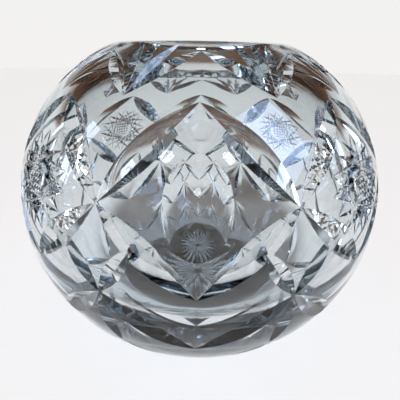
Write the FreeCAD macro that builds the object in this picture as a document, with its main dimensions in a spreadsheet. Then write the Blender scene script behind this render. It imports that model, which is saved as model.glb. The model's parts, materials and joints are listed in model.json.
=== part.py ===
import FreeCAD, Part
import math
import os
import Sketcher

# Rose bowl vase of heavy clear crystal: one turned blank with its ornament cut into it by wheels.
# Millimetres, +Z up, origin under the middle of the flat base.
# An azimuth of 0 faces -Y and grows towards +X.
# The ornament repeats in four quarters, and each quarter is its own mirror image, so the cuts are
# made in one eighth of the blank, which is then mirrored and repeated.

V = FreeCAD.Vector

# Driving sizes, each written once
SIZES = {
    # the blank
    "belly_radius": 82.5,
    "belly_height": 65.5,
    "rim_height": 132.8,
    "rim_radius": 37.3,
    "base_radius": 46.5,
    "wall": 7.5,
    "floor_thickness": 19.3,
    "cavity_arc_radius": 49.5,
    "lip_height": 125.4,
    "mouth_radius": 29.5,
    "rim_rounding": 1.2,
    "lip_rounding": 2.0,
    "base_rounding": 1.5,
    # heights of the points that the cuts run between
    "crown_height": 129.6,
    "fan_height": 116.8,
    "fan_ray_height": 131.8,
    "diamond_top": 116.0,
    "node_height": 88.2,
    "diamond_bottom": 60.6,
    "twig_height": 77.5,
    "star_node_height": 58.4,
    "band_bottom": 33.0,
    "foot_node_height": 28.5,
    "foot_point_height": 8.5,
    "foot_ray_height": 3.5,
    # depth of each family of cuts at its middle
    "crown_depth": 2.1,
    "fan_ray_depth": 1.6,
    "leaf_depth": 3.7,
    "band_depth": 3.4,
    "twig_depth": 2.4,
    "stem_depth": 2.4,
    "foot_depth": 2.3,
    "foot_ray_depth": 1.4,
    # thumbprint in the middle of each clear diamond
    "print_height": 89.2,
    "print_depth": 3.0,
    "print_wheel_radius": 91.4,
    "print_edge_radius": 23.3,
    # hobstar in the diamonds between them
    "hob_height": 89.2,
    "hob_radius": 18.0,
    "hob_depth": 1.25,
    "hatch_spacing": 1.95,
    "hatch_length": 12.4,
    "hatch_depth": 0.6,
    # star under the base
    "base_star_radius": 29.5,
    "base_star_centre": 1.6,
    "base_star_depth": 1.3,
    # how far each wheel stands proud of the glass that it cuts
    "overrun": 1.5,
    # widest gap that is closed where two eighths of the bowl meet
    "seam_gap": 0.0001,
}

# Counts and angles, which stay when the bowl is made larger
PANELS = 8
QUARTERS = 4
HOB_LINES = 16
HOB_STEP = 6
HATCH_LINES = 5
BASE_STAR_RAYS = 24
FAN_RAYS = (-1, 0, 1)
PANEL_ANGLE = 360.0 / PANELS
NODE_ANGLE = PANEL_ANGLE / 2
TWIG_ANGLE = 9.0
FAN_RAY_ANGLE = 9.5
FOOT_RAY_ANGLE = 9.0
MITRE_HALF_ANGLE = 52.5
HOB_HALF_ANGLE = 50.0

doc = FreeCAD.newDocument("rose_bowl")
sheet = doc.addObject("Spreadsheet::Sheet", "sizes")
for row, (alias, value) in enumerate(SIZES.items(), start=1):
    sheet.set("A%d" % row, alias)
    sheet.set("B%d" % row, str(value))
    sheet.setAlias("B%d" % row, alias)
doc.recompute()

body = doc.addObject("PartDesign::Body", "blank")
body.Label = "turned blank"
ORIGIN = {feature.Role: feature for feature in body.Origin.OriginFeatures}


def size(alias):
    """A driving size, read from the sheet."""
    return float(sheet.get(alias))


def bind(sketch, kind, places, value, expression):
    """Adds a dimension to a sketch and ties it to the sheet."""
    index = sketch.addConstraint(Sketcher.Constraint(kind, *places, value))
    name = "size_%d" % index
    sketch.renameConstraint(index, name)
    sketch.setExpression("Constraints." + name, expression)


# The outer wall: two circular arcs that meet upright at the belly

def arc_radius(end_radius, belly_radius, rise):
    """Radius of an arc that leaves the belly upright and ends nearer the axis."""
    reach = belly_radius - end_radius
    return (reach * reach + rise * rise) / (reach + reach)


BELLY = size("belly_radius")
BELLY_HEIGHT = size("belly_height")
LOWER_ARC = arc_radius(size("base_radius"), BELLY, BELLY_HEIGHT)
UPPER_ARC = arc_radius(size("rim_radius"), BELLY, size("rim_height") - BELLY_HEIGHT)


def wall_arc(height):
    """Radius of the arc that the outer wall follows at a height."""
    return UPPER_ARC if height > BELLY_HEIGHT else LOWER_ARC


def wall_point(azimuth, height):
    """Point of the outer wall."""
    arc = wall_arc(height)
    radius = BELLY - arc + math.sqrt(arc * arc - (height - BELLY_HEIGHT) ** 2)
    angle = math.radians(azimuth)
    return V(radius * math.sin(angle), -radius * math.cos(angle), height)


def arc_centre(point):
    """Centre of the wall's arc, in the upright plane through the axis and a point."""
    flat = V(point.x, point.y, 0).normalize()
    return flat * (BELLY - wall_arc(point.z)) + V(0, 0, BELLY_HEIGHT)


def wall_normal(point):
    """Direction straight out of the outer wall beside a point."""
    return (point - arc_centre(point)).normalize()


def depth_below_wall(point):
    """How deep a point lies below the outer wall."""
    return wall_arc(point.z) - (point - arc_centre(point)).Length


def onto_wall(point):
    """Moves a point straight out or in, onto the outer wall."""
    return point + wall_normal(point) * depth_below_wall(point)


# The blank, turned round the Z axis

def profile_sketch(name, points, arcs):
    """Closed outline in the XZ plane, with arcs through a third point on some sides."""
    sketch = body.newObject("Sketcher::SketchObject", name)
    sketch.AttachmentSupport = [(ORIGIN["XZ_Plane"], "")]
    sketch.MapMode = "FlatFace"
    for side, start in enumerate(points):
        end = points[(side + 1) % len(points)]
        if side in arcs:
            sketch.addGeometry(Part.Arc(start, arcs[side], end), False)
        else:
            sketch.addGeometry(Part.LineSegment(start, end), False)
    return sketch


def arc_point(centre, radius, end):
    """Point halfway along an arc that starts level with its centre."""
    turn = math.atan2(end.y - centre.y, end.x - centre.x) / 2
    return centre + V(radius * math.cos(turn), radius * math.sin(turn), 0)


def join_sides(sketch, ends):
    """Joins the named ends of the sides, which start and finish in either order."""
    for first, first_end, second, second_end in ends:
        sketch.addConstraint(Sketcher.Constraint("Coincident", first, first_end, second, second_end))


def build_outer():
    """The solid blank: base, outer wall and rim."""
    base = V(size("base_radius"), 0, 0)
    belly = V(BELLY, BELLY_HEIGHT, 0)
    rim = V(size("rim_radius"), size("rim_height"), 0)
    lower = arc_point(V(BELLY - LOWER_ARC, BELLY_HEIGHT, 0), LOWER_ARC, base)
    upper = arc_point(V(BELLY - UPPER_ARC, BELLY_HEIGHT, 0), UPPER_ARC, rim)
    points = [V(0, 0, 0), base, belly, rim, V(0, rim.y, 0)]
    sketch = profile_sketch("outer_outline", points, {1: lower, 2: upper})
    # the sketch stores both arcs anticlockwise, as these sides run
    join_sides(sketch, [(0, 2, 1, 1), (1, 2, 2, 1), (2, 2, 3, 1), (3, 2, 4, 1), (4, 2, 0, 1), (0, 1, -1, 1)])
    sketch.addConstraint(Sketcher.Constraint("Horizontal", 0))
    sketch.addConstraint(Sketcher.Constraint("Horizontal", 3))
    sketch.addConstraint(Sketcher.Constraint("Vertical", 4))
    bind(sketch, "DistanceX", (-1, 1, 0, 2), base.x, "sizes.base_radius")
    bind(sketch, "DistanceX", (-1, 1, 1, 2), belly.x, "sizes.belly_radius")
    bind(sketch, "DistanceY", (-1, 1, 1, 2), belly.y, "sizes.belly_height")
    bind(sketch, "DistanceY", (-1, 1, 1, 3), belly.y, "sizes.belly_height")
    bind(sketch, "DistanceY", (-1, 1, 2, 3), belly.y, "sizes.belly_height")
    bind(sketch, "DistanceX", (-1, 1, 2, 2), rim.x, "sizes.rim_radius")
    bind(sketch, "DistanceY", (-1, 1, 2, 2), rim.y, "sizes.rim_height")
    blank = body.newObject("PartDesign::Revolution", "blank")
    blank.Profile = sketch
    blank.ReferenceAxis = (sketch, ["V_Axis"])
    return blank


def build_cavity():
    """The cavity: flat floor, round sides and a short straight mouth."""
    inner_belly = V(BELLY - size("wall"), BELLY_HEIGHT, 0)
    low_arc = size("cavity_arc_radius")
    low_centre = V(inner_belly.x - low_arc, BELLY_HEIGHT, 0)
    drop = BELLY_HEIGHT - size("floor_thickness")
    floor_edge = V(low_centre.x + math.sqrt(low_arc * low_arc - drop * drop), size("floor_thickness"), 0)
    lip = V(size("mouth_radius"), size("lip_height"), 0)
    high_arc = arc_radius(lip.x, inner_belly.x, lip.y - BELLY_HEIGHT)
    above = V(lip.x, size("rim_height") + size("overrun"), 0)
    low = arc_point(low_centre, low_arc, floor_edge)
    high = arc_point(V(inner_belly.x - high_arc, BELLY_HEIGHT, 0), high_arc, lip)
    points = [V(0, floor_edge.y, 0), floor_edge, inner_belly, lip, above, V(0, above.y, 0)]
    sketch = profile_sketch("cavity_outline", points, {1: low, 2: high})
    join_sides(sketch, [(0, 2, 1, 1), (1, 2, 2, 1), (2, 2, 3, 1), (3, 2, 4, 1), (4, 2, 5, 1), (5, 2, 0, 1)])
    for side in (0, 4):
        sketch.addConstraint(Sketcher.Constraint("Horizontal", side))
    for side in (3, 5):
        sketch.addConstraint(Sketcher.Constraint("Vertical", side))
    sketch.addConstraint(Sketcher.Constraint("PointOnObject", 0, 1, -2))
    bind(sketch, "DistanceY", (-1, 1, 0, 1), floor_edge.y, "sizes.floor_thickness")
    bind(sketch, "DistanceX", (-1, 1, 1, 2), inner_belly.x, "sizes.belly_radius - sizes.wall")
    bind(sketch, "DistanceY", (-1, 1, 1, 2), inner_belly.y, "sizes.belly_height")
    bind(sketch, "DistanceY", (-1, 1, 1, 3), inner_belly.y, "sizes.belly_height")
    bind(sketch, "Radius", (1,), low_arc, "sizes.cavity_arc_radius")
    bind(sketch, "DistanceY", (-1, 1, 2, 3), inner_belly.y, "sizes.belly_height")
    bind(sketch, "DistanceX", (-1, 1, 2, 2), lip.x, "sizes.mouth_radius")
    bind(sketch, "DistanceY", (-1, 1, 2, 2), lip.y, "sizes.lip_height")
    bind(sketch, "DistanceY", (-1, 1, 4, 1), above.y, "sizes.rim_height + sizes.overrun")
    cavity = body.newObject("PartDesign::Groove", "cavity")
    cavity.Profile = sketch
    cavity.ReferenceAxis = (sketch, ["V_Axis"])
    return cavity


def circle_edges(shape, radius, height):
    """Names of the edges that are circles of a radius at a height."""
    near = size("rim_rounding") / 2
    names = []
    for index, edge in enumerate(shape.Edges, start=1):
        box = edge.BoundBox
        flat = abs(box.ZMin - height) < near and abs(box.ZMax - height) < near
        if flat and abs(box.XMax - radius) < near:
            names.append("Edge%d" % index)
    return names


def round_edges(name, base, circles, alias):
    """Rounds circular edges, given as pairs of radius and height."""
    names = [edge for radius, height in circles for edge in circle_edges(base.Shape, radius, height)]
    fillet = body.newObject("PartDesign::Fillet", name)
    fillet.Base = (base, names)
    fillet.setExpression("Radius", "sizes." + alias)
    doc.recompute()
    return fillet


# The cuts, each made by a wheel whose edge enters the glass at one end and leaves it at the other

def wheel_pass(section, deepest, side, outward, wheel, length):
    """Turns the section of a wheel's edge round the wheel's own axis, over the length of the cut."""
    turn = math.degrees(2 * math.asin((length / 2 + size("overrun")) / abs(wheel)))
    hub = deepest + outward * wheel
    swing = FreeCAD.Placement(V(0, 0, 0), FreeCAD.Rotation(side, -turn / 2), hub)
    seat = FreeCAD.Placement(deepest, FreeCAD.Rotation(side, outward, side.cross(outward), "XYZ"))
    edge = Part.Face(Part.Wire(section))
    edge.Placement = swing.multiply(seat)
    return edge.revolve(hub, side, turn)


def mitre_cut(start, end, outward, bulge, alias, half_angle):
    """V cut between two points of a surface that bulges over their chord, as deep as the named size."""
    chord = end - start
    along = V(chord).normalize()
    outward = (outward - along * outward.dot(along)).normalize()
    bite = size(alias) - bulge
    wheel = (chord.Length ** 2 / 4 + bite * bite) / (2 * bite)
    height = size(alias) + size("overrun")
    spread = height * math.tan(math.radians(half_angle))
    corners = [V(0, 0, 0), V(spread, height, 0), V(-spread, height, 0), V(0, 0, 0)]
    section = Part.makePolygon(corners).Edges
    deepest = (start + end) * 0.5 - outward * bite
    return wheel_pass(section, deepest, along.cross(outward), outward, wheel, chord.Length)


def wall_cut(start, end, alias, half_angle=MITRE_HALF_ANGLE):
    """V cut between two points of the outer wall."""
    middle = (start + end) * 0.5
    return mitre_cut(start, end, wall_normal(middle), depth_below_wall(middle), alias, half_angle)


def panel_cuts():
    """Leaves, fans and stems of one eighth, with the mirror images that reach into it."""
    node_azimuth = NODE_ANGLE
    legs = [
        ("crown_height", "fan_height", "crown_depth"),
        ("diamond_top", "node_height", "leaf_depth"),
        ("diamond_bottom", "node_height", "leaf_depth"),
        ("band_bottom", "star_node_height", "band_depth"),
        ("foot_point_height", "foot_node_height", "foot_depth"),
    ]
    cuts = []
    for tip, node, depth in legs:
        for azimuth in (0, PANEL_ANGLE):
            for side in (-1, 1):
                start = wall_point(azimuth, size(tip))
                end = wall_point(azimuth + side * node_azimuth, size(node))
                cuts.append(wall_cut(start, end, depth))
    fan = wall_point(node_azimuth, size("fan_height"))
    star = wall_point(node_azimuth, size("star_node_height"))
    foot = wall_point(node_azimuth, size("foot_node_height"))
    for side in (-1, 1):
        tip = wall_point(node_azimuth + side * TWIG_ANGLE, size("twig_height"))
        cuts.append(wall_cut(tip, star, "twig_depth"))
    cuts.append(wall_cut(star, foot, "stem_depth"))
    for ray in FAN_RAYS:
        rim_end = wall_point(node_azimuth + ray * FAN_RAY_ANGLE, size("fan_ray_height"))
        cuts.append(wall_cut(fan, rim_end, "fan_ray_depth"))
        base_end = wall_point(node_azimuth + ray * FOOT_RAY_ANGLE, size("foot_ray_height"))
        cuts.append(wall_cut(foot, base_end, "foot_ray_depth"))
    return cuts


def thumbprint():
    """Shallow oval hollow in the middle of a clear diamond, cut by a wheel with a round edge."""
    outward = wall_normal(wall_point(0, size("print_height")))
    deepest = wall_point(0, size("print_height")) - outward * size("print_depth")
    edge = size("print_edge_radius")
    section = [Part.Circle(V(0, edge, 0), V(0, 0, 1), edge).toShape()]
    return wheel_pass(section, deepest, V(1, 0, 0), outward, size("print_wheel_radius"), 2 * edge)


def hobstar():
    """Star of crossing V cuts round a disc, and the fine cross-hatching of the disc."""
    centre = wall_point(PANEL_ANGLE, size("hob_height"))
    outward = wall_normal(centre)
    level = V(0, 0, 1).cross(outward).normalize()
    upright = outward.cross(level)
    radius = size("hob_radius")
    points = []
    for index in range(HOB_LINES):
        turn = 2 * math.pi * index / HOB_LINES
        way = level * math.cos(turn) + upright * math.sin(turn)
        points.append(onto_wall(centre + way * radius))
    cuts = []
    for index, start in enumerate(points):
        end = points[(index + HOB_STEP) % HOB_LINES]
        cuts.append(wall_cut(start, end, "hob_depth", HOB_HALF_ANGLE))
    reach = size("hatch_length") / 2
    for across, along in ((level, upright), (upright, level)):
        for index in range(HATCH_LINES):
            middle = centre + across * (size("hatch_spacing") * (index - (HATCH_LINES - 1) / 2))
            start, end = onto_wall(middle - along * reach), onto_wall(middle + along * reach)
            cuts.append(wall_cut(start, end, "hatch_depth"))
    return cuts


def base_star():
    """The rays of the star under the base that lie in one eighth."""
    cuts = []
    for ray in range(BASE_STAR_RAYS // PANELS + 1):
        angle = 2 * math.pi * ray / BASE_STAR_RAYS
        way = V(math.sin(angle), -math.cos(angle), 0)
        start, end = way * size("base_star_centre"), way * size("base_star_radius")
        cuts.append(mitre_cut(start, end, V(0, 0, -1), 0, "base_star_depth", MITRE_HALF_ANGLE))
    return cuts


# One eighth of the bowl, between the middle of a clear diamond and the middle of a hobstar

SIDE_NORMALS = [V(math.cos(math.radians(turn)), math.sin(math.radians(turn)), 0) for turn in (0, PANEL_ANGLE)]


def eighth_of(shape):
    """The part of a round shape that lies between the two side planes of an eighth."""
    reach = (size("belly_radius") + size("overrun")) / math.cos(math.radians(PANEL_ANGLE / 2))
    under = V(0, 0, -size("overrun"))
    corners = [under]
    for azimuth in (0, PANEL_ANGLE):
        angle = math.radians(azimuth)
        corners.append(under + V(reach * math.sin(angle), -reach * math.cos(angle), 0))
    wedge = Part.Face(Part.makePolygon(corners + [under]))
    return shape.common(wedge.extrude(V(0, 0, size("rim_height") + 2 * size("overrun"))))


def on_side_plane(face):
    """Whether a face lies in one of the two side planes of the eighth."""
    gap = size("seam_gap")
    return any(all(abs(corner.Point.dot(normal)) < gap for corner in face.Vertexes)
               and abs(face.CenterOfMass.dot(normal)) < gap for normal in SIDE_NORMALS)


def whole_from(eighth):
    """Joins the skin of an eighth, its mirror image and their copies round the Z axis into a solid."""
    skin = [face for face in eighth.Faces if not on_side_plane(face)]
    quarter = skin + [face.mirror(V(0, 0, 0), SIDE_NORMALS[1]) for face in skin]
    faces = []
    for index in range(QUARTERS):
        faces += [face.rotated(V(0, 0, 0), V(0, 0, 1), 360.0 * index / QUARTERS) for face in quarter]
    joined = Part.Compound(faces)
    joined.sewShape(size("seam_gap"))
    if len(joined.Shells) != 1 or not joined.Shells[0].isClosed():
        raise RuntimeError("the eighths of the bowl don't join into one closed skin")
    return Part.Solid(joined.Shells[0])


build_outer()
doc.recompute()
cavity = build_cavity()
doc.recompute()
rim_circles = [(size("rim_radius"), size("rim_height")), (size("mouth_radius"), size("rim_height"))]
rounded = round_edges("rim_edges", cavity, rim_circles, "rim_rounding")
rounded = round_edges("lip_edge", rounded, [(size("mouth_radius"), size("lip_height"))], "lip_rounding")
round_edges("base_edge", rounded, [(size("base_radius"), 0)], "base_rounding")
for item in doc.Objects:
    if "Invalid" in item.State or "Error" in item.State:
        raise RuntimeError("%s failed: %s" % (item.Name, item.State))

eighth = eighth_of(body.Shape)
for cut in hobstar() + [thumbprint()] + panel_cuts() + base_star():
    eighth = eighth.cut(cut)
bowl = doc.addObject("Part::Feature", "bowl")
bowl.Label = "bowl"
bowl.Shape = whole_from(eighth)
bowl.Placement = FreeCAD.Placement(V(0, 0, 0), FreeCAD.Rotation())
doc.recompute()

for item in doc.Objects:
    if "Invalid" in item.State or "Error" in item.State:
        raise RuntimeError("%s failed: %s" % (item.Name, item.State))
if bowl.Shape.isNull() or not bowl.Shape.isValid() or len(bowl.Shape.Solids) != 1:
    raise RuntimeError("the bowl is not one valid solid")
if not 0 < bowl.Shape.Volume < body.Shape.Volume:
    raise RuntimeError("the cuts took no glass away")
print("blank %.0f mm3, bowl %.0f mm3, %d faces" % (body.Shape.Volume, bowl.Shape.Volume, len(bowl.Shape.Faces)))

os.makedirs("parts", exist_ok=True)
bowl.Shape.exportStep("parts/%s.step" % bowl.Label)
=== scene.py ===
import json
import math

import bpy
from mathutils import Matrix, Vector

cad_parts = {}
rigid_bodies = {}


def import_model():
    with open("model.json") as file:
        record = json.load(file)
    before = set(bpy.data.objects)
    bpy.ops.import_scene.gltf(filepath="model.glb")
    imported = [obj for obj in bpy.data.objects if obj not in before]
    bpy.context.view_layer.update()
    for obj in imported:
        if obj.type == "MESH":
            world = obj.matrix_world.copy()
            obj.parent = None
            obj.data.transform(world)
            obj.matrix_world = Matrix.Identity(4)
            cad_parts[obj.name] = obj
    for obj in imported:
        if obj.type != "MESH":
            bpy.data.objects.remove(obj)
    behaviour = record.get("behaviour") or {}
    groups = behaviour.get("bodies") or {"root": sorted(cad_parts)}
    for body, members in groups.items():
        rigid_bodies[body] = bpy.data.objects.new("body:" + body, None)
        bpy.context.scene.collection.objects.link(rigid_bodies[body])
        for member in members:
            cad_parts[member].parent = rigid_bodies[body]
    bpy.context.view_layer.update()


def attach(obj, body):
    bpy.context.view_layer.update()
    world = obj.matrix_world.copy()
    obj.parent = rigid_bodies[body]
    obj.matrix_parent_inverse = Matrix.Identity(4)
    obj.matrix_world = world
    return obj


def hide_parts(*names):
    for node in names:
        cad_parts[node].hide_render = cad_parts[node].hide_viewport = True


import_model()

# Rose bowl vase of heavy clear crystal. The bowl's lengths are written in millimetres and turned
# to metres where a point is made; places and sizes in the studio are in metres. An azimuth of 0
# faces -Y and grows towards +X, in degrees.
MM = 0.001

# the plain blank
BELLY_RADIUS = 82.5
BELLY_HEIGHT = 65.5
RIM_RADIUS = 37.3
RIM_HEIGHT = 132.8
BASE_RADIUS = 46.5
WALL_THICKNESS = 7.5
FLOOR_THICKNESS = 19.3
CAVITY_ARC = 49.5
LIP_HEIGHT = 125.4
MOUTH_RADIUS = 29.5
RIM_ROUNDING = 1.2
LIP_ROUNDING = 2.0
BASE_ROUNDING = 1.5

# the middle point of three rounded edges, as shares of the rounding: how far it lies in from the
# edge's side, and how far from its flat
BASE_EDGE = (0.35, 0.2)
RIM_EDGE = (0.1, 0.25)
MOUTH_EDGE = (0.3, 0.25)

# heights that the cuts run between
CROWN_HEIGHT = 129.6
FAN_HEIGHT = 116.8
FAN_RAY_HEIGHT = 131.8
DIAMOND_TOP = 116.0
NODE_HEIGHT = 88.2
DIAMOND_BOTTOM = 60.6
TWIG_HEIGHT = 77.5
STAR_NODE_HEIGHT = 58.4
BAND_BOTTOM = 33.0
FOOT_NODE_HEIGHT = 28.5
FOOT_POINT_HEIGHT = 8.5
FOOT_RAY_HEIGHT = 3.5

# depth of each family of cuts at its middle
CROWN_DEPTH = 2.1
FAN_RAY_DEPTH = 1.6
LEAF_DEPTH = 3.7
BAND_DEPTH = 3.4
TWIG_DEPTH = 2.4
STEM_DEPTH = 2.4
FOOT_DEPTH = 2.3
FOOT_RAY_DEPTH = 1.4

# the thumbprints in the clear diamonds
PRINT_HEIGHT = 89.2
PRINT_DEPTH = 3.0
PRINT_WHEEL = 91.4
PRINT_EDGE = 23.3

# the hobstars in the diamonds between them: each point is joined to the sixth one on
HOB_HEIGHT = 89.2
HOB_RADIUS = 18.0
HOB_DEPTH = 1.25
HOB_POINTS = 16
HOB_SKIP = 6
HATCH_LINES = 5
HATCH_SPACING = 1.95
HATCH_LENGTH = 12.4
HATCH_DEPTH = 0.6

# the star under the base
BASE_STAR_RAYS = 24
BASE_STAR_RADIUS = 29.5
BASE_STAR_CENTRE = 1.6
BASE_STAR_DEPTH = 1.3

# how the pattern is shared out round the bowl; twigs and rays are counted from a panel's middle
PANELS = 8
PANEL_ANGLE = 360 / PANELS
NODE_ANGLE = PANEL_ANGLE / 2
TWIG_ANGLE = 9.0
FAN_RAY_ANGLE = 9.5
FOOT_RAY_ANGLE = 9.0

# azimuths where the rays of the two front fans end, which were cut by eye; the other fans are even
FRONT_FAN_RAYS = {
    0: (15.2, 24.8, 34.2),
    7: (-29.8, -21.2, -9.9),
}

# half the angle of the V wheels' edges, and how far every wheel runs on past its cut
MITRE_HALF_ANGLE = 52.5
HOB_HALF_ANGLE = 50.0
OVERRUN = 1.5

# a V starts from a circle of three corners; at radius 1 it is this far across its half, and this high
TRIANGLE_CORNERS = 3
TRIANGLE_HALF_WIDTH = math.sin(math.pi / 3)
TRIANGLE_HEIGHT = 1.5

# how finely the meshes are drawn: steps along each arc and cut, and corners of the round wheel
TURN_STEPS = 240
WALL_STEPS = 36
DOME_STEPS = 28
CAVITY_STEPS = 20
LIP_STEPS = 6
MITRE_STEPS = 10
PRINT_CORNERS = 224
PRINT_STEPS = 40

# corners nearer than this are merged, and edges that bend less than this angle are shaded smooth
WELD = 0.002
SMOOTH_ANGLE = 20

# the polish: the width and relief of its waves, and the width of its patches of slight haze,
# which are finer on real glass and are drawn wide enough to show
POLISH_WAVE = 18.2
POLISH_RELIEF = 0.4
HAZE_PATCH = 8.3

# the floor: its reach in metres, its corners, and the width in millimetres of the faint patches
# in its paint
FLOOR_REACH = 3
FLOOR_CORNERS = 96
BOARD_PATCH = 167

# the tone of the studio at each height of the view's direction: 0 is the horizon, 1 straight up
STUDIO_TONES = (
    (0.0, "#F3F2F1"),
    (0.26, "#F1F1F0"),
    (0.34, "#7A5A48"),
    (0.48, "#24150D"),
    (0.8, "#6E5040"),
    (1.0, "#A09890"),
)

# the point that the lamps face, the main lamp, and each window's name, place, size, power and tint
LAMPS_AIM = (0, 0, 66 * MM)
KEY_PLACE = (-0.02, -0.78, 0.62)
KEY_STRENGTH = 4.5
WINDOWS = (
    ("window_right", (0.55, -0.35, 0.75), (0.5, 0.6), 5.5, "#B4CFFF"),
    ("window_left", (-0.8, -0.1, 0.4), (0.12, 0.5), 1.5, "#D6E4FF"),
    ("window_side", (0.9, 0.1, 0.25), (0.08, 0.4), 0.8, "#D6E4FF"),
)


def srgb(code):
    """A hex colour turned to linear, with full alpha."""
    parts = [int(code[place:place + 2], 16) / 255 for place in (1, 3, 5)]
    return tuple(p / 12.92 if p <= 0.04045 else ((p + 0.055) / 1.055) ** 2.4 for p in parts) + (1.0,)


def noise_scale(width):
    """Scale of a noise whose patches are this wide in millimetres, to a whole number a metre."""
    return float(round(1 / (width * MM)))


def add_node(tree, kind, settings=None, links=None, **values):
    """Adds a node, sets its options and socket values, and links its inputs."""
    node = tree.nodes.new(kind)
    for name, value in (settings or {}).items():
        setattr(node, name, value)
    for name, value in values.items():
        node.inputs[name.replace("_", " ")].default_value = value
    for name, socket in (links or {}).items():
        tree.links.new(socket, node.inputs[name])
    return node


# Camera, floor and light

def photo_camera():
    """A camera close in front of the bowl, looking down at it, as fitted to the photograph."""
    camera_data = bpy.data.cameras.new("photo_camera")
    camera = bpy.data.objects.new("photo_camera", camera_data)
    bpy.context.scene.collection.objects.link(camera)
    distance, height = 160.1 * MM, 128.7 * MM
    heading, pitch, roll = math.radians(0.296), math.radians(24.03), math.radians(0.985)
    place = Matrix.Translation((distance * math.sin(heading), -distance * math.cos(heading), height))
    turn = Matrix.Rotation(heading, 4, "Z") @ Matrix.Rotation(math.pi / 2 - pitch, 4, "X")
    camera.matrix_world = place @ turn @ Matrix.Rotation(roll, 4, "Z")
    camera_data.sensor_width = 36
    camera_data.lens = 29.5
    camera_data.shift_x = 0.0018
    camera_data.clip_start = 0.01
    bpy.context.scene.camera = camera


def floor_material():
    """Matt painted board: an even pale surface that takes the bowl's soft shadow."""
    material = bpy.data.materials.new("painted_board")
    material.use_nodes = True
    tree = material.node_tree
    tree.nodes.clear()
    place = add_node(tree, "ShaderNodeTexCoord")
    patches = add_node(tree, "ShaderNodeTexNoise", links={"Vector": place.outputs["Object"]},
                       Scale=noise_scale(BOARD_PATCH))
    tone = add_node(tree, "ShaderNodeMix", {"data_type": "RGBA"}, {"Factor": patches.outputs["Fac"]},
                    A=srgb("#EDEFEF"), B=srgb("#F0F2F2"))
    board = add_node(tree, "ShaderNodeBsdfPrincipled", links={"Base Color": tone.outputs["Result"]},
                     Roughness=0.9)
    add_node(tree, "ShaderNodeOutputMaterial", links={"Surface": board.outputs["BSDF"]})
    return material


def lay_floor():
    """A wide round floor."""
    bpy.ops.mesh.primitive_circle_add(vertices=FLOOR_CORNERS, radius=FLOOR_REACH, fill_type="NGON",
                                      location=(0, 0, 0))
    floor = bpy.context.object
    floor.name = "floor"
    floor.data.materials.append(floor_material())


def aim(lamp, place):
    """Puts a lamp in its place and points it at the middle of the bowl."""
    bpy.context.scene.collection.objects.link(lamp)
    lamp.location = place
    lamp.rotation_euler = (Vector(LAMPS_AIM) - Vector(place)).to_track_quat("-Z", "Y").to_euler()


def add_key(place, strength):
    """The main lamp, in front and above, so that the bowl's shadow lies behind it."""
    lamp_data = bpy.data.lights.new("key_lamp", "SUN")
    lamp_data.angle = math.radians(12)
    lamp_data.energy = strength
    lamp_data.color = srgb("#FCFCFF")[:3]
    aim(bpy.data.objects.new("key_lamp", lamp_data), place)


def add_window(name, place, size, power, tint):
    """A pale blue window: it shows in the glass and leaves the floor as it is."""
    lamp_data = bpy.data.lights.new(name, "AREA")
    lamp_data.shape = "RECTANGLE"
    lamp_data.size, lamp_data.size_y = size
    lamp_data.energy = power
    lamp_data.color = srgb(tint)[:3]
    window = bpy.data.objects.new(name, lamp_data)
    window.visible_diffuse = False
    aim(window, place)


def studio_world():
    """A pale studio wall all round, with a dim brown room above it and a paler ceiling."""
    world = bpy.data.worlds.new("studio")
    bpy.context.scene.world = world
    world.use_nodes = True
    tree = world.node_tree
    tree.nodes.clear()
    place = add_node(tree, "ShaderNodeTexCoord")
    parts = add_node(tree, "ShaderNodeSeparateXYZ", links={"Vector": place.outputs["Generated"]})
    rise = add_node(tree, "ShaderNodeValToRGB", links={"Fac": parts.outputs["Z"]})
    tones = rise.color_ramp.elements
    # a new ramp has two stops, which take the first tone and the last
    for index in (0, -1):
        tones[index].position, tones[index].color = STUDIO_TONES[index][0], srgb(STUDIO_TONES[index][1])
    for stop, code in STUDIO_TONES[1:-1]:
        tones.new(stop).color = srgb(code)
    sky = add_node(tree, "ShaderNodeBackground", links={"Color": rise.outputs["Color"]}, Strength=1.0)
    add_node(tree, "ShaderNodeOutputWorld", links={"Surface": sky.outputs["Background"]})


# The outer wall: two circular arcs that meet upright at the belly

def arc_radius(end_radius, belly_radius, rise):
    """Radius of an arc that leaves the belly upright and ends nearer the axis."""
    reach = belly_radius - end_radius
    return (reach * reach + rise * rise) / (reach + reach)


LOWER_ARC = arc_radius(BASE_RADIUS, BELLY_RADIUS, BELLY_HEIGHT)
UPPER_ARC = arc_radius(RIM_RADIUS, BELLY_RADIUS, RIM_HEIGHT - BELLY_HEIGHT)


def wall_arc(height):
    """Radius of the arc that the outer wall follows at a height."""
    return UPPER_ARC if height > BELLY_HEIGHT else LOWER_ARC


def wall_point(azimuth, height):
    """Point of the outer wall, in millimetres."""
    arc = wall_arc(height)
    radius = BELLY_RADIUS - arc + math.sqrt(arc * arc - (height - BELLY_HEIGHT) ** 2)
    angle = math.radians(azimuth)
    return Vector((radius * math.sin(angle), -radius * math.cos(angle), height))


def arc_centre(point):
    """Centre of the wall's arc, in the upright plane through the axis and a point."""
    flat = Vector((point.x, point.y, 0)).normalized()
    return flat * (BELLY_RADIUS - wall_arc(point.z)) + Vector((0, 0, BELLY_HEIGHT))


def wall_normal(point):
    """The way out of the glass, square to the wall."""
    return (point - arc_centre(point)).normalized()


def depth_below_wall(point):
    """How far a point lies inside the outer wall."""
    return wall_arc(point.z) - (point - arc_centre(point)).length


def onto_wall(point):
    """The point of the outer wall that is nearest to a point."""
    return point + wall_normal(point) * depth_below_wall(point)


# The blank, spun from its outline

def arc_points(centre, radius, first, last, steps):
    """Points along an arc, from one angle to another, as pairs of radius and height."""
    turns = [first + (last - first) * step / steps for step in range(steps + 1)]
    return [(centre[0] + radius * math.cos(turn), centre[1] + radius * math.sin(turn)) for turn in turns]


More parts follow.
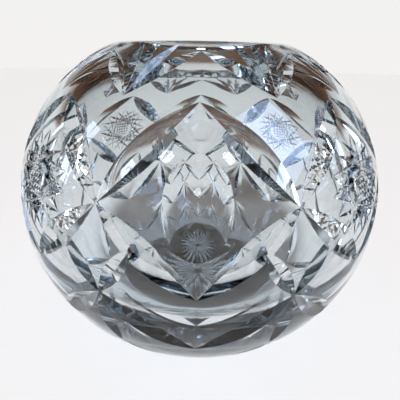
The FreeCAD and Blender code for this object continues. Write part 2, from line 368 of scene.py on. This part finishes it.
def blank_outline():
    """The bowl's section from the middle of its base, up the outside and down the inside."""
    lower_centre = (BELLY_RADIUS - LOWER_ARC, BELLY_HEIGHT)
    upper_centre = (BELLY_RADIUS - UPPER_ARC, BELLY_HEIGHT)
    low = math.atan2(-BELLY_HEIGHT, BASE_RADIUS - lower_centre[0])
    high = math.atan2(RIM_HEIGHT - BELLY_HEIGHT, RIM_RADIUS - upper_centre[0])
    inner_belly = BELLY_RADIUS - WALL_THICKNESS
    side_arc = arc_radius(MOUTH_RADIUS, inner_belly, LIP_HEIGHT - BELLY_HEIGHT)
    side_centre = (inner_belly - side_arc, BELLY_HEIGHT)
    cavity_centre = (inner_belly - CAVITY_ARC, BELLY_HEIGHT)
    floor_turn = -math.asin((BELLY_HEIGHT - FLOOR_THICKNESS) / CAVITY_ARC)
    # the lip's rounding touches the straight mouth on one side and the dome of the cavity on the other
    lip_x = MOUTH_RADIUS + LIP_ROUNDING
    lip_turn = math.acos((lip_x - side_centre[0]) / (side_arc + LIP_ROUNDING))
    lip_centre = (lip_x, BELLY_HEIGHT + (side_arc + LIP_ROUNDING) * math.sin(lip_turn))
    foot_share = BASE_ROUNDING / LOWER_ARC
    rim_share = RIM_ROUNDING / UPPER_ARC
    outline = [(0, 0), (BASE_RADIUS / 2, 0), (BASE_RADIUS - BASE_ROUNDING, 0)]
    outline += [(BASE_RADIUS - BASE_ROUNDING * BASE_EDGE[0], BASE_ROUNDING * BASE_EDGE[1])]
    outline += arc_points(lower_centre, LOWER_ARC, low + foot_share, 0, WALL_STEPS)
    outline += arc_points(upper_centre, UPPER_ARC, 0, high - rim_share, WALL_STEPS)[1:]
    outline += [(RIM_RADIUS - RIM_ROUNDING * RIM_EDGE[0], RIM_HEIGHT - RIM_ROUNDING * RIM_EDGE[1]),
                (RIM_RADIUS - RIM_ROUNDING, RIM_HEIGHT)]
    outline += [(MOUTH_RADIUS + RIM_ROUNDING, RIM_HEIGHT),
                (MOUTH_RADIUS + RIM_ROUNDING * MOUTH_EDGE[0], RIM_HEIGHT - RIM_ROUNDING * MOUTH_EDGE[1])]
    outline += arc_points(lip_centre, LIP_ROUNDING, math.pi, math.pi + lip_turn, LIP_STEPS)
    outline += arc_points(side_centre, side_arc, lip_turn, 0, DOME_STEPS)[1:]
    outline += arc_points(cavity_centre, CAVITY_ARC, 0, floor_turn, CAVITY_STEPS)[1:]
    outline += [(0, FLOOR_THICKNESS)]
    return outline


def start_piece(name, point):
    """A new mesh of a single corner, in edit mode."""
    bpy.ops.object.select_all(action="DESELECT")
    bpy.ops.mesh.primitive_plane_add(size=MM, location=(0, 0, 0))
    piece = bpy.context.object
    piece.name = name
    bpy.ops.object.mode_set(mode="EDIT")
    bpy.ops.mesh.select_all(action="SELECT")
    bpy.ops.mesh.merge(type="CENTER")
    bpy.ops.transform.translate(value=point)
    return piece


def turn_blank():
    """The plain bowl, spun round the Z axis from its outline."""
    outline = [Vector((radius * MM, 0, height * MM)) for radius, height in blank_outline()]
    bowl = start_piece("crystal_bowl", outline[0])
    for start, end in zip(outline, outline[1:]):
        bpy.ops.mesh.extrude_region_move(TRANSFORM_OT_translate={"value": end - start})
    bpy.ops.mesh.select_all(action="SELECT")
    bpy.ops.mesh.spin(steps=TURN_STEPS, angle=2 * math.pi, center=(0, 0, 0), axis=(0, 0, 1))
    bpy.ops.mesh.select_all(action="SELECT")
    bpy.ops.mesh.remove_doubles(threshold=WELD * MM)
    bpy.ops.mesh.normals_make_consistent(inside=False)
    bpy.ops.object.mode_set(mode="OBJECT")
    return bowl


# The cutting wheels

WHEELS = bpy.data.collections.new("cutting_wheels")
bpy.context.scene.collection.children.link(WHEELS)


def wheel_section(name, corners, radius, shift):
    """A round or three-cornered section of a wheel's edge, in edit mode, moved along Y."""
    bpy.ops.object.select_all(action="DESELECT")
    bpy.ops.mesh.primitive_circle_add(vertices=corners, radius=radius, fill_type="NGON", location=(0, 0, 0))
    section = bpy.context.object
    section.name = name
    bpy.ops.object.mode_set(mode="EDIT")
    bpy.ops.mesh.select_all(action="SELECT")
    bpy.ops.transform.translate(value=(0, shift, 0))
    return section


def sweep_wheel(piece, deepest, side, outward, wheel, length, steps):
    """Turns the section of a wheel's edge round the wheel's own axis, over the length of the cut.

    A wheel radius below zero puts the axis inside the bowl, for a cut that follows the wall's bulge.
    """
    turn = 2 * math.asin((length / 2 + OVERRUN) / abs(wheel))
    hub = (deepest + outward * wheel) * MM
    across = side.cross(outward)
    seat = Matrix((side, outward, across)).transposed().to_4x4()
    seat.translation = deepest * MM
    swing = Matrix.Translation(hub) @ Matrix.Rotation(-turn / 2, 4, side) @ Matrix.Translation(-hub)
    piece.matrix_world = swing @ seat
    bpy.ops.object.transform_apply(location=True, rotation=True, scale=True)
    bpy.ops.object.mode_set(mode="EDIT")
    bpy.ops.mesh.select_all(action="SELECT")
    # the spin tool turns left-handed, so it is given the axis the other way round
    bpy.ops.mesh.spin(steps=steps, angle=turn, center=hub, axis=-side)
    bpy.ops.mesh.select_all(action="SELECT")
    bpy.ops.mesh.normals_make_consistent(inside=False)
    bpy.ops.object.mode_set(mode="OBJECT")
    for group in piece.users_collection:
        group.objects.unlink(piece)
    WHEELS.objects.link(piece)


def mitre_cut(start, end, outward, bulge, depth, half_angle=MITRE_HALF_ANGLE):
    """A V wheel's cut between two points of a surface that bulges over their chord."""
    chord = end - start
    along = chord.normalized()
    outward = (outward - along * outward.dot(along)).normalized()
    bite = depth - bulge
    wheel = (chord.length ** 2 / 4 + bite * bite) / (2 * bite)
    height = depth + OVERRUN
    spread = height * math.tan(math.radians(half_angle))
    # the circle's first corner lies at +Y, so it is moved to the middle and becomes the V's tip
    piece = wheel_section("mitre_wheel", TRIANGLE_CORNERS, MM, -MM)
    stretch = (spread / TRIANGLE_HALF_WIDTH, -height / TRIANGLE_HEIGHT, 1)
    bpy.ops.transform.resize(value=stretch, center_override=(0, 0, 0))
    bpy.ops.object.mode_set(mode="OBJECT")
    deepest = (start + end) * 0.5 - outward * bite
    sweep_wheel(piece, deepest, along.cross(outward), outward, wheel, chord.length, MITRE_STEPS)


def wall_cut(start, end, depth, half_angle=MITRE_HALF_ANGLE):
    """A V cut between two points of the outer wall."""
    middle = (start + end) * 0.5
    mitre_cut(start, end, wall_normal(middle), depth_below_wall(middle), depth, half_angle)


def cut_panel(index):
    """The leaves, fans and stems of one of the eight panels, which is centred on a fan."""
    middle = NODE_ANGLE + index * PANEL_ANGLE
    left, right = middle - NODE_ANGLE, middle + NODE_ANGLE
    fan = wall_point(middle, FAN_HEIGHT)
    node = wall_point(middle, NODE_HEIGHT)
    star = wall_point(middle, STAR_NODE_HEIGHT)
    foot = wall_point(middle, FOOT_NODE_HEIGHT)
    for azimuth in (left, right):
        wall_cut(wall_point(azimuth, CROWN_HEIGHT), fan, CROWN_DEPTH)
        wall_cut(wall_point(azimuth, DIAMOND_TOP), node, LEAF_DEPTH)
        wall_cut(wall_point(azimuth, DIAMOND_BOTTOM), node, LEAF_DEPTH)
        wall_cut(wall_point(azimuth, BAND_BOTTOM), star, BAND_DEPTH)
        wall_cut(wall_point(azimuth, FOOT_POINT_HEIGHT), foot, FOOT_DEPTH)
    for side in (-1, 1):
        wall_cut(wall_point(middle + side * TWIG_ANGLE, TWIG_HEIGHT), star, TWIG_DEPTH)
    wall_cut(star, foot, STEM_DEPTH)
    even_rays = (middle - FAN_RAY_ANGLE, middle, middle + FAN_RAY_ANGLE)
    for ray, azimuth in enumerate(FRONT_FAN_RAYS.get(index, even_rays)):
        foot_azimuth = middle + FOOT_RAY_ANGLE * (ray - 1)
        wall_cut(fan, wall_point(azimuth, FAN_RAY_HEIGHT), FAN_RAY_DEPTH)
        wall_cut(foot, wall_point(foot_azimuth, FOOT_RAY_HEIGHT), FOOT_RAY_DEPTH)


def cut_thumbprint(azimuth):
    """A shallow oval hollow in the middle of a clear diamond."""
    surface = wall_point(azimuth, PRINT_HEIGHT)
    outward = wall_normal(surface)
    piece = wheel_section("thumbprint_wheel", PRINT_CORNERS, PRINT_EDGE * MM, PRINT_EDGE * MM)
    bpy.ops.object.mode_set(mode="OBJECT")
    side = Vector((0, 0, 1)).cross(outward).normalized()
    deepest = surface - outward * PRINT_DEPTH
    sweep_wheel(piece, deepest, side, outward, PRINT_WHEEL, 2 * PRINT_EDGE, PRINT_STEPS)


def cut_hobstar(azimuth):
    """A star of sixteen crossing cuts round a disc, which is cross-hatched."""
    centre = wall_point(azimuth, HOB_HEIGHT)
    outward = wall_normal(centre)
    level = Vector((0, 0, 1)).cross(outward).normalized()
    upright = outward.cross(level)
    points = []
    for index in range(HOB_POINTS):
        turn = 2 * math.pi * index / HOB_POINTS
        reach = (level * math.cos(turn) + upright * math.sin(turn)) * HOB_RADIUS
        points.append(onto_wall(centre + reach))
    for index in range(HOB_POINTS):
        wall_cut(points[index], points[(index + HOB_SKIP) % HOB_POINTS], HOB_DEPTH, HOB_HALF_ANGLE)
    for across, along in ((level, upright), (upright, level)):
        for line in range(HATCH_LINES):
            middle = centre + across * (HATCH_SPACING * (line - HATCH_LINES // 2))
            half = along * (HATCH_LENGTH / 2)
            wall_cut(onto_wall(middle - half), onto_wall(middle + half), HATCH_DEPTH)


def cut_base_star():
    """The star of even rays under the base."""
    for ray in range(BASE_STAR_RAYS):
        turn = 2 * math.pi * ray / BASE_STAR_RAYS
        way = Vector((math.sin(turn), -math.cos(turn), 0))
        mitre_cut(way * BASE_STAR_CENTRE, way * BASE_STAR_RADIUS, Vector((0, 0, -1)), 0, BASE_STAR_DEPTH)


def crystal():
    """Lead crystal, wheel cut and acid polished: clear and very bright, with faint waves and patches
    of slight haze that the polish leaves, and a cool grey that deepens where the glass is thick."""
    material = bpy.data.materials.new("lead_crystal")
    material.use_nodes = True
    tree = material.node_tree
    tree.nodes.clear()
    place = add_node(tree, "ShaderNodeTexCoord")
    waves = add_node(tree, "ShaderNodeTexNoise", links={"Vector": place.outputs["Object"]},
                     Scale=noise_scale(POLISH_WAVE), Detail=2.0)
    relief = add_node(tree, "ShaderNodeBump", links={"Height": waves.outputs["Fac"]},
                      Strength=0.25, Distance=POLISH_RELIEF * MM)
    haze = add_node(tree, "ShaderNodeTexNoise", links={"Vector": place.outputs["Object"]},
                    Scale=noise_scale(HAZE_PATCH), Detail=3.0)
    polish = add_node(tree, "ShaderNodeMapRange", links={"Value": haze.outputs["Fac"]},
                      To_Min=0.0, To_Max=0.03)
    glass = add_node(tree, "ShaderNodeBsdfPrincipled",
                     links={"Roughness": polish.outputs["Result"], "Normal": relief.outputs["Normal"]},
                     IOR=1.54, Transmission_Weight=1.0, Base_Color=srgb("#F7FAFB"))
    depth = add_node(tree, "ShaderNodeVolumeAbsorption", Color=srgb("#C8D4DA"), Density=25.0)
    add_node(tree, "ShaderNodeOutputMaterial",
             links={"Surface": glass.outputs["BSDF"], "Volume": depth.outputs["Volume"]})
    return material


def cut_bowl():
    """The bowl: the blank less every wheel's path."""
    bowl = turn_blank()
    for index in range(PANELS):
        cut_panel(index)
    for index in range(PANELS // 2):
        cut_thumbprint(2 * index * PANEL_ANGLE)
        cut_hobstar((2 * index + 1) * PANEL_ANGLE)
    cut_base_star()
    cutting = bowl.modifiers.new("cutting", "BOOLEAN")
    cutting.operation = "DIFFERENCE"
    cutting.operand_type = "COLLECTION"
    cutting.collection = WHEELS
    cutting.solver = "MANIFOLD"
    bpy.ops.object.select_all(action="DESELECT")
    bowl.select_set(True)
    bpy.context.view_layer.objects.active = bowl
    bpy.ops.object.modifier_apply(modifier="cutting")
    for wheel in list(WHEELS.objects):
        bpy.data.objects.remove(wheel)
    bpy.data.collections.remove(WHEELS)
    bpy.ops.object.shade_smooth_by_angle(angle=math.radians(SMOOTH_ANGLE))
    bowl.data.materials.clear()
    bowl.data.materials.append(crystal())
    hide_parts("bowl")
    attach(bowl, "root")


bpy.context.scene.view_settings.view_transform = "Standard"
# light crosses many facets on its way through the glass
bpy.context.scene.cycles.max_bounces = 32
bpy.context.scene.cycles.transmission_bounces = 32
bpy.context.scene.cycles.glossy_bounces = 16
photo_camera()
lay_floor()
add_key(KEY_PLACE, KEY_STRENGTH)
for window in WINDOWS:
    add_window(*window)
studio_world()
cut_bowl()
